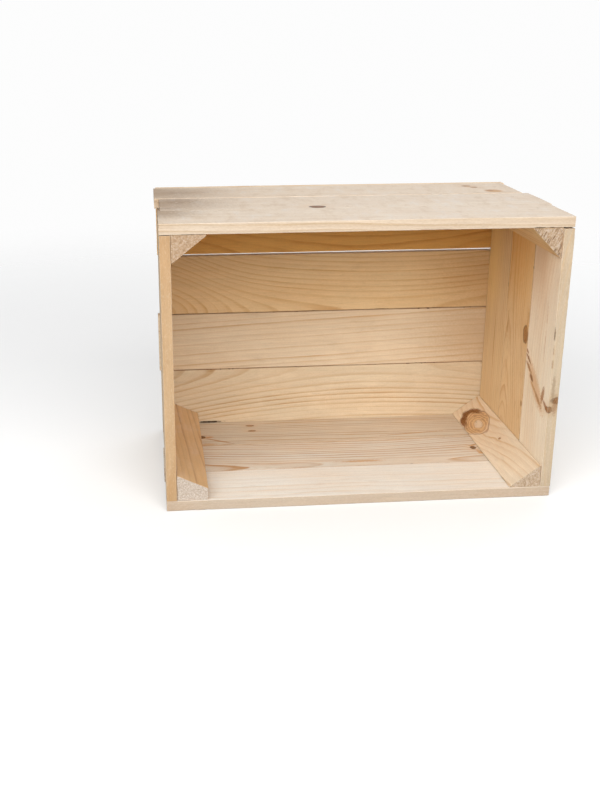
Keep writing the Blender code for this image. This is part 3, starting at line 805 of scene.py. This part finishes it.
def board_points(node, grain, across, thick, lo, hi, cracks=()):
    """A sawn board in row millimetres: uneven edges, worn arrises, cup, torn ends, knots and splits."""
    seed = WOOD[node]["seed"]
    fine_v = [0.0, 0.25, 0.7, 1.5, 3.0]
    fine_w = [0.0, 0.25, 0.7, 1.5, 3.2]
    us = spaced(lo[grain], hi[grain], 4.0, [0.0, 0.2, 0.7, 2.0])
    vs = spaced(lo[across], hi[across], 3.4, fine_v)
    ws = spaced(lo[thick], hi[thick], 3.4, fine_w)
    for c in cracks:
        extra = c["at"] + np.array([-1.1, -0.35, 0.0, 0.35, 1.1])
        vs = vs[(vs < extra[0] - 0.8) | (vs > extra[-1] + 0.8)]
        vs = np.sort(np.concatenate([vs, extra]))
    pts, quads = shell(us, vs, ws)
    L = np.array([lo[grain], lo[across], lo[thick]])
    H = np.array([hi[grain], hi[across], hi[thick]])
    p = pts.copy()
    u, v, w = pts[:, 0], pts[:, 1], pts[:, 2]
    vn = (v - L[1]) / (H[1] - L[1]) * 2 - 1

    # worn arrises: a radius that changes along the edge, with a few chips
    rad = 0.50 + 0.30 * vnoise(u / 45, vn * 3, w / 9, seed) + 0.12 * vnoise(u / 7, vn * 3, w / 9, seed + 1)
    chip = sstep(0.72, 0.95, vnoise(u / 9, vn * 2 + 5, w / 10, seed + 2))
    rad = np.clip(rad + chip * 1.1, 0.18, 2.2)
    p = round_pair(p, 1, 2, L, H, rad)
    endr = np.clip(0.28 + 0.15 * vnoise(v / 3, w / 3, u / 40, seed + 3), 0.12, 0.6)
    p = round_pair(p, 0, 2, L, H, endr)
    p = round_pair(p, 0, 1, L, H, endr)

    # everything below moves a surface inwards only
    side = np.sign(vn)
    edge_in = 0.16 + 0.16 * vnoise(u / 70, side * 4, seed * 0.7, seed + 4) + 0.07 * vnoise(u / 11, side * 4, w / 5, seed + 5)
    free = np.clip(edge_in, 0.0, 0.5)
    low_seam, high_seam = seam_sides(node)
    seam = np.where(vn < 0, float(low_seam), float(high_seam))
    from_face = np.minimum(w - L[2], H[2] - w)
    gap_v = 0.10 + 0.14 * (vnoise(u / 30, side * 4, seed * 0.3, seed + 30) + 0.6)
    gap_v = np.clip(gap_v, 0.02, 0.4) + 0.40 * sstep(0.55, 0.85, vnoise(u / 12, side * 5, seed * 0.9, seed + 31))
    shut = gap_v + (-0.265 - gap_v) * sstep(0.0, 2.4, from_face)
    p[:, 1] -= side * np.where(seam > 0, shut, free) * sstep(0.80, 1.0, np.abs(vn))
    wn = np.where(np.abs(w - L[2]) < np.abs(w - H[2]), -1.0, 1.0)
    mid_w = 1.0 - np.abs((w - L[2]) / (H[2] - L[2]) * 2 - 1)
    face = 0.10 + 0.05 * vnoise(u / 60, v / 18, wn * 3, seed + 6) + 0.045 * vnoise(u / 16, v / 3.2, wn * 3, seed + 7)
    p[:, 2] -= wn * np.clip(face, 0.0, 0.3) * (1 - mid_w)
    cup = 0.22 * (vn ** 2) * (1 if seed % 2 else -1)
    p[:, 2] += np.where(cup * wn > 0, 0.0, cup) * (1 - mid_w)
    atend = np.minimum(u - L[0], H[0] - u) < 0.9
    eside = np.where(u - L[0] < H[0] - u, 1.0, -1.0)
    torn = 0.12 + 0.10 * vnoise(v / 1.6, w / 1.6, eside, seed + 8) + 0.10 * vnoise(v / 14, w / 5, eside, seed + 9)
    shut_end = 0.26 if node.startswith("short_side") else 0.0
    p[:, 0] += eside * (np.clip(torn, 0, 0.4) - shut_end) * atend

    # knots: sound ones stand a little proud of the shrunken wood round them, dead ones sink
    names = {0: grain, 1: across, 2: thick}
    for k in WOOD[node]["knots"]:
        c = np.array([k["c"][grain], k["c"][across]])
        d = np.hypot((p[:, 0] - c[0]) / k["e"], p[:, 1] - c[1])
        near = np.exp(-(d / (k["r"] * 1.5)) ** 2)
        inside = 1 - sstep(k["r"] * 0.7, k["r"] * 1.05, d)
        drop = near * 0.16 + inside * (0.30 if k["kind"] == 1 else -0.10)
        p[:, 2] -= wn * drop * (1 - mid_w)

    # nail dimples
    for n in nails:
        if n["axis"] != thick:
            continue
        hd = n["head"]
        if not (lo[grain] - 1 < hd[grain] < hi[grain] + 1 and lo[across] - 1 < hd[across] < hi[across] + 1):
            continue
        if not (lo[thick] - 2 < hd[thick] < hi[thick] + 2):
            continue
        d = np.hypot(p[:, 0] - hd[grain], p[:, 1] - hd[across])
        out_side = wn * n["out"][thick] > 0
        p[:, 2] -= wn * np.exp(-(d / 5.0) ** 2) * 0.22 * out_side * (1 - mid_w)

    # splits along the grain
    for c in cracks:
        wander = 1.2 * vnoise(p[:, 0] / 22, 0.0, 0.0, seed + 20) + 0.5 * vnoise(p[:, 0] / 6, 0.0, 3.0, seed + 21)
        close = np.exp(-((v - c["at"]) / 6.0) ** 2)
        p[:, 1] += wander * close
        openness = sstep(c["from"] - 8, c["from"] + 6, u) * (1 - sstep(c["to"] - 8, c["to"] + 6, u))
        core = (np.abs(v - c["at"]) < 0.2)
        on_face = (wn * c["face"] > 0) & (mid_w < 0.05)
        p[:, 2] -= wn * openness * core * on_face * c["depth"]

    world = np.zeros_like(p)
    world[:, grain], world[:, across], world[:, thick] = p[:, 0], p[:, 1], p[:, 2]
    order = (grain, across, thick)
    even = order in ((0, 1, 2), (1, 2, 0), (2, 0, 1))
    if not even:
        quads = quads[:, ::-1]
    return world, quads


def mesh_from(name, pts_mm, polys, smooth_angle=32):
    mesh = bpy.data.meshes.new(name)
    mesh.from_pydata((pts_mm * MM).tolist(), [], [tuple(int(i) for i in q) for q in polys])
    mesh.validate()
    mesh.update()
    return mesh


def finish_mesh(mesh, angle=38):
    bm = bmesh.new()
    bm.from_mesh(mesh)
    bmesh.ops.recalc_face_normals(bm, faces=bm.faces)
    for f in bm.faces:
        f.smooth = True
    bm.to_mesh(mesh)
    bm.free()
    mesh.set_sharp_from_angle(angle=math.radians(angle))


HOLE = lathe_mesh("hole_shape", [(0.0, 4.0), (HEAD_R + 0.18, 4.0), (HEAD_R + 0.12, -1.1), (SHANK_R + 0.12, -1.1),
                                 (SHANK_R + 0.12, -29.3), (0.0, -29.3)], 28)


def cut_holes(obj, lo, hi):
    """Drills the nail holes that reach this piece."""
    bm = bmesh.new()
    n_cut = 0
    for n in nails:
        tip = n["head"] - n["out"] * 29.0
        a = np.minimum(n["head"], tip) - 0.5
        b = np.maximum(n["head"], tip) + 0.5
        if np.any(b < lo) or np.any(a > hi):
            continue
        tmp = HOLE.copy()
        tmp.transform(place_from(n))
        bm.from_mesh(tmp)
        bpy.data.meshes.remove(tmp)
        n_cut += 1
    if not n_cut:
        bm.free()
        return
    bmesh.ops.scale(bm, vec=(MM, MM, MM), verts=bm.verts)
    cm = bpy.data.meshes.new("cut")
    bm.to_mesh(cm)
    bm.free()
    cutter = add_object("cutter_tmp", cm)
    mod = obj.modifiers.new("holes", "BOOLEAN")
    mod.operation = "DIFFERENCE"
    mod.solver = "MANIFOLD"
    mod.object = cutter
    dg = bpy.context.evaluated_depsgraph_get()
    new = bpy.data.meshes.new_from_object(obj.evaluated_get(dg))
    obj.modifiers.clear()
    old = obj.data
    obj.data = new
    bpy.data.meshes.remove(old)
    bpy.data.objects.remove(cutter)
    bpy.data.meshes.remove(cm)


def box_mm(node):
    blo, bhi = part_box(node)
    return np.array(blo) * 1000.0, np.array(bhi) * 1000.0


CRACKS = {
    "short_side_right_middle": [dict(at=-44.0, **{"from": 120.0, "to": 236.0}, face=-1, depth=1.6)],
    "long_side_top_front": [dict(at=-62.0, **{"from": -240.0, "to": -205.0}, face=1, depth=1.4)],
    "long_side_top_middle": [dict(at=-22.0, **{"from": -245.0, "to": -212.0}, face=1, depth=1.8)],
}


def make_board(node, grain, across, thick):
    lo, hi = box_mm(node)
    pts, quads = board_points(node, grain, across, thick, lo, hi, CRACKS.get(node, ()))
    mesh = mesh_from("board_" + node, pts, quads)
    obj = add_object("board_" + node, mesh)
    cut_holes(obj, lo, hi)
    finish_mesh(obj.data)
    axis = [0.0, 0.0, 0.0]
    axis[thick] = 1.0
    obj.data.materials.clear()
    obj.data.materials.append(pine(node, grain, lo, hi, tuple(axis), across))
    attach(obj, "root")
    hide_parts(node)
    return obj


# ------------------------------------------------------------------ triangular posts
def post_flats(node, lo, hi):
    """How far the solid's flat sides run up from the long board and out from the side board, in mm."""
    co = np.array([v.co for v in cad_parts[node].data.vertices]) * 1000.0
    a = co[:, 0] - lo[0] if "_left" in node else hi[0] - co[:, 0]
    b = co[:, 2] - lo[2] if "_low_" in node else hi[2] - co[:, 2]
    return float(b[a > a.max() - 0.05].max()), float(a[b > b.max() - 0.05].max())


def post_outline(lx, lz, flat_z, flat_x):
    """Profile from the square corner, rounded a little, sampled closely. Counter-clockwise in (a, b)."""
    corners = [((0.0, 0.0), 0.9), ((lx, 0.0), 0.35), ((lx, flat_z), 0.5), ((flat_x, lz), 0.5), ((0.0, lz), 0.35)]
    n = len(corners)
    out = []
    for i in range(n):
        p0 = np.array(corners[i - 1][0])
        (c, r), p1 = corners[i], np.array(corners[(i + 1) % n][0])
        c = np.array(c)
        d0, d1 = (p0 - c), (p1 - c)
        l0, l1 = np.linalg.norm(d0), np.linalg.norm(d1)
        d0, d1 = d0 / l0, d1 / l1
        cosang = float(np.clip(d0 @ d1, -1, 1))
        half = math.acos(cosang) / 2
        cut = min(r / math.tan(half), l0 * 0.45, l1 * 0.45)
        rr = cut * math.tan(half)
        centre = c + (d0 + d1) / np.linalg.norm(d0 + d1) * (rr / math.sin(half))
        a0 = c + d0 * cut
        a1 = c + d1 * cut
        t0 = math.atan2(*(a0 - centre)[::-1])
        t1 = math.atan2(*(a1 - centre)[::-1])
        while t1 < t0:
            t1 += 2 * math.pi
        for s in (0.0, 0.5, 1.0):
            th = t0 + (t1 - t0) * s
            out.append(centre + rr * np.array([math.cos(th), math.sin(th)]))
    dense = []
    for i in range(len(out)):
        a, c = out[i], out[(i + 1) % len(out)]
        length = np.linalg.norm(c - a)
        steps = max(1, int(round(length / 2.2)))
        for s in range(steps):
            dense.append(a + (c - a) * s / steps)
    return np.array(dense)


def make_post(node):
    lo, hi = box_mm(node)
    seed = WOOD[node]["seed"]
    left = "_left" in node
    low = "_low_" in node
    lx, lz = hi[0] - lo[0], hi[2] - lo[2]
    flat_z, flat_x = post_flats(node, lo, hi)
    outline = post_outline(lx, lz, flat_z, flat_x)
    slant_n = np.array([lz - flat_z, lx - flat_x])
    slant_n = slant_n / np.linalg.norm(slant_n)
    m = len(outline)
    ys = spaced(lo[1], hi[1], 3.6, [0.0, 0.15, 0.5, 1.6])
    centre = np.array([lx * 0.30, lz * 0.30])
    rows = []
    for iy, y in enumerate(ys):
        e = min(y - lo[1], hi[1] - y)
        inset = 0.28 if e < 0.01 else (0.10 if e < 0.2 else 0.0)
        o = outline.copy()
        d = centre - o
        d = d / np.linalg.norm(d, axis=1, keepdims=True)
        hyp = (o - np.array([lx, flat_z])) @ slant_n > -0.9
        wave = 0.10 + 0.10 * vnoise(y / 60, o[:, 0] / 12, o[:, 1] / 12, seed) + 0.06 * vnoise(y / 12, o[:, 0] / 3, o[:, 1] / 3, seed + 1)
        o = o + d * (inset + np.clip(wave, 0, 0.4)[:, None] * np.where(hyp, 1.4, 0.6)[:, None])
        rows.append(np.column_stack([o[:, 0], np.full(m, y), o[:, 1]]))
    rings = list(rows)
    # end caps: shrinking loops, torn by the saw
    scales = [0.93, 0.82, 0.69, 0.55, 0.41, 0.27, 0.14]

    def cap(row, y, sgn, s0):
        loops = []
        for s in scales:
            o = centre + (row[:, [0, 2]] - centre) * s
            rough = 0.10 + 0.10 * vnoise(o[:, 0] / 1.7, o[:, 1] / 1.7, sgn, s0) + 0.08 * vnoise(o[:, 0] / 7, o[:, 1] / 3, sgn, s0 + 1)
            loops.append(np.column_stack([o[:, 0], y + sgn * np.clip(rough, 0, 0.35), o[:, 1]]))
        return loops

    front = cap(rows[0], ys[0], 1.0, seed + 5)
    back = cap(rows[-1], ys[-1], -1.0, seed + 7)
    allrings = list(reversed(front)) + rings + back
    pts = np.concatenate(allrings + [np.array([[centre[0], ys[0] + 0.1, centre[1]]]),
                                     np.array([[centre[0], ys[-1] - 0.1, centre[1]]])])
    quads = []
    nr = len(allrings)
    for i in range(nr - 1):
        for k in range(m):
            n = (k + 1) % m
            quads.append((i * m + k, i * m + n, (i + 1) * m + n, (i + 1) * m + k))
    c0, c1 = nr * m, nr * m + 1
    for k in range(m):
        n = (k + 1) % m
        quads.append((c0, k, n))
        quads.append((c1, (nr - 1) * m + n, (nr - 1) * m + k))
    # from profile coordinates to the row frame
    world = pts.copy()
    world[:, 0] = (lo[0] + pts[:, 0]) if left else (hi[0] - pts[:, 0])
    world[:, 2] = (lo[2] + pts[:, 2]) if low else (hi[2] - pts[:, 2])
    # knots on the slanted face
    face_n = np.array([slant_n[0] * (1 if left else -1), 0.0, slant_n[1] * (1 if low else -1)])
    for k in WOOD[node]["knots"]:
        rel = world - np.array(k["c"])
        along = rel @ face_n
        flat = rel - along[:, None] * face_n
        flat[:, 1] /= k["e"]
        d = np.linalg.norm(flat, axis=1)
        near = np.exp(-(d / (k["r"] * 1.3)) ** 2) * (np.abs(along) < 3)
        world -= face_n * (near * 0.25)[:, None]
    mesh = mesh_from("post_" + node, world, quads)
    obj = add_object(node.replace("corner_", "") + "_wood", mesh)
    finish_mesh(obj.data)
    cut_holes(obj, lo, hi)
    finish_mesh(obj.data)
    obj.data.materials.clear()
    obj.data.materials.append(pine(node, 1, lo, hi, tuple(face_n)))
    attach(obj, "root")
    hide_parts(node)
    return obj


def slant_point(node, y, share):
    """A point on a post's slanted face: share 0 at the side board, 1 at the long board."""
    lo, hi = box_mm(node)
    left, low = "_left" in node, "_low_" in node
    ax = lo[0] if left else hi[0]
    bx = hi[0] if left else lo[0]
    az = hi[2] if low else lo[2]
    bz = lo[2] if low else hi[2]
    return (ax + (bx - ax) * share, y, az + (bz - az) * share)


kp = slant_point("corner_post_low_right", 60.0, 0.60)
WOOD["corner_post_low_right"]["knots"].append(K(*kp, 18.5, 2.3, 0.92, 3, bark=(-0.12, 1.0, -0.08)))
kp = slant_point("corner_post_low_right", -20.0, 0.38)
WOOD["corner_post_low_right"]["knots"].append(K(*kp, 1.6, 1.3, 0.8, 2))

for row in ("front", "middle", "rear"):
    for level in ("top", "low"):
        make_board(f"long_side_{level}_{row}", 0, 1, 2)
    for side in ("left", "right"):
        make_board(f"short_side_{side}_{row}", 2, 1, 0)
for i in range(1, 5):
    make_board(f"bottom_board_{i}", 0, 2, 1)
for level in ("top", "low"):
    for side in ("left", "right"):
        make_post(f"corner_post_{level}_{side}")

# ------------------------------------------------------------------ nails
steel = nail_material("nail_dull_steel", (84, 76, 70), (56, 42, 32), (118, 110, 102), 0.85)
dusty_steel = nail_material("nail_dusty", (196, 178, 158), (166, 142, 116), (208, 196, 180), 0.10)
for i, n in enumerate(nails):
    s = 977 + i * 13

    def wob(th, z, s=s):
        return 1.0 + (0.025 * math.sin(2 * th + s) + 0.015 * math.sin(3 * th + s * 1.7) if z > -1.0 else 0.0)

    prof = [(0.0, -0.04), (0.8, -0.03), (1.5, 0.0), (2.05, -0.03), (2.3, -0.14), (2.38, -0.34), (2.36, -0.62),
            (2.0, -0.80), (1.25, -0.90), (1.02, -1.2)]
    for g in range(7):
        z = -2.0 - g * 1.1
        prof += [(1.05, z), (0.98, z - 0.45), (1.05, z - 0.8)]
    prof += [(1.05, -25.6), (0.62, -27.4), (0.18, -28.7), (0.0, -28.95)]
    me = lathe_mesh("nail_mesh", prof, 28, wob)
    me.transform(place_from(n))
    me.transform(Matrix.Scale(MM, 4))
    o = add_object("wire_" + n["name"], me)
    finish_mesh(me, 50)
    me.materials.append(dusty_steel if n["name"].startswith("nail_long_top") else steel)
    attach(o, "root")
    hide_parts(n["name"])

# ------------------------------------------------------------------ floor
bm = bmesh.new()
loops = []
for r in (0.35, 0.8, 1.5, 2.6, 4.5, 9.0):
    loops.append([bm.verts.new((r * math.cos(2 * math.pi * k / 96), r * math.sin(2 * math.pi * k / 96), 0.0))
                  for k in range(96)])
mid = bm.verts.new((0, 0, 0))
for k in range(96):
    n = (k + 1) % 96
    bm.faces.new((mid, loops[0][k], loops[0][n]))
    for inner, outer in zip(loops, loops[1:]):
        bm.faces.new((inner[k], outer[k], outer[n], inner[n]))
fm = bpy.data.meshes.new("studio_floor")
bm.to_mesh(fm)
bm.free()
floor = add_object("studio_floor", fm)
fmat = bpy.data.materials.new("pale_floor")
fmat.use_nodes = True
ft = fmat.node_tree
for n in list(ft.nodes):
    ft.nodes.remove(n)
t = Tree(ft)
f_out = t.node("ShaderNodeOutputMaterial")
f_bsdf = t.node("ShaderNodeBsdfPrincipled")
f_path = t.node("ShaderNodeLightPath")
ft.links.new(t.mix(S(t, f_path.outputs["Is Camera Ray"]), (0.42, 0.42, 0.42), (0.86, 0.86, 0.86)).s,
             f_bsdf.inputs["Base Color"])
ft.links.new((S(t, f_path.outputs["Is Camera Ray"]) * 0.10).s, f_bsdf.inputs["Emission Strength"])
f_bsdf.inputs["Emission Color"].default_value = (1.0, 1.0, 1.0, 1.0)
f_bsdf.inputs["Roughness"].default_value = 0.85
f_bsdf.inputs["Specular IOR Level"].default_value = 0.1
f_clear = t.node("ShaderNodeBsdfTransparent")
f_mix = t.node("ShaderNodeMixShader")
f_xyz = t.separate(S(t, t.node("ShaderNodeTexCoord").outputs["Object"]))
f_r = (f_xyz[0] * f_xyz[0] + f_xyz[1] * f_xyz[1]).sqrt()
ft.links.new(t.smooth(0.5, 1.9, f_r).s, f_mix.inputs[0])
ft.links.new(f_bsdf.outputs[0], f_mix.inputs[1])
ft.links.new(f_clear.outputs[0], f_mix.inputs[2])
ft.links.new(f_mix.outputs[0], f_out.inputs[0])
fm.materials.append(fmat)

# ------------------------------------------------------------------ light
world = bpy.data.worlds.new("studio")
bpy.context.scene.world = world
world.use_nodes = True
wt = world.node_tree
for n in list(wt.nodes):
    wt.nodes.remove(n)
w_out = wt.nodes.new("ShaderNodeOutputWorld")
w_mix = wt.nodes.new("ShaderNodeMixShader")
w_lit = wt.nodes.new("ShaderNodeBackground")
w_seen = wt.nodes.new("ShaderNodeBackground")
w_path = wt.nodes.new("ShaderNodeLightPath")
w_dir = wt.nodes.new("ShaderNodeTexCoord")
w_sep = wt.nodes.new("ShaderNodeSeparateXYZ")
w_map = wt.nodes.new("ShaderNodeMapRange")
wt.links.new(w_dir.outputs["Generated"], w_sep.inputs[0])
wt.links.new(w_sep.outputs["Z"], w_map.inputs["Value"])
w_map.inputs["From Min"].default_value = 0.05
w_map.inputs["From Max"].default_value = 0.75
w_map.inputs["To Min"].default_value = 0.17
w_map.inputs["To Max"].default_value = 0.48
wt.links.new(w_map.outputs["Result"], w_lit.inputs["Strength"])
w_lit.inputs["Color"].default_value = (0.97, 0.975, 0.98, 1)
w_seen.inputs["Color"].default_value = (0.98, 0.98, 0.98, 1)
w_seen.inputs["Strength"].default_value = 1.0
wt.links.new(w_path.outputs["Is Camera Ray"], w_mix.inputs[0])
wt.links.new(w_lit.outputs[0], w_mix.inputs[1])
wt.links.new(w_seen.outputs[0], w_mix.inputs[2])
wt.links.new(w_mix.outputs[0], w_out.inputs[0])


def softbox(name, loc, target, size, energy, color):
    data = bpy.data.lights.new(name, "AREA")
    data.shape = "RECTANGLE"
    data.size, data.size_y = size
    data.energy = energy
    data.color = color
    o = bpy.data.objects.new(name, data)
    bpy.context.scene.collection.objects.link(o)
    o.location = loc
    o.rotation_euler = (Vector(target) - Vector(loc)).to_track_quat("-Z", "Y").to_euler()
    return o


softbox("sky_panel", (-0.40, -2.15, 1.56), (0.0, -0.05, 0.17), (4.2, 1.9), 107.0, (1.0, 0.995, 0.985))
softbox("back_panel", (1.15, 1.95, 1.35), (0.1, 0.1, 0.18), (2.2, 1.4), 17.0, (0.97, 0.98, 1.0))

# ------------------------------------------------------------------ camera
YAW, PITCH, ROLL = math.radians(5.301), math.radians(-19.556), math.radians(-0.117)
fwd = Vector((math.sin(YAW) * math.cos(PITCH), math.cos(YAW) * math.cos(PITCH), math.sin(PITCH)))
right0 = Vector((math.cos(YAW), -math.sin(YAW), 0.0))
up0 = right0.cross(fwd)
right = right0 * math.cos(ROLL) + up0 * math.sin(ROLL)
up = up0 * math.cos(ROLL) - right0 * math.sin(ROLL)
cam_data = bpy.data.cameras.new("camera")
cam = bpy.data.objects.new("camera", cam_data)
bpy.context.scene.collection.objects.link(cam)
cam.matrix_world = Matrix.Translation((-0.2490, -1.3380, 0.5684)) @ Matrix((right, up, -fwd)).transposed().to_4x4()
cam_data.sensor_width = 36.0
cam_data.lens = 48.51
cam_data.shift_x = 0.0625
cam_data.clip_end = 80
bpy.context.scene.camera = cam
bpy.context.scene.view_settings.view_transform = "Standard"

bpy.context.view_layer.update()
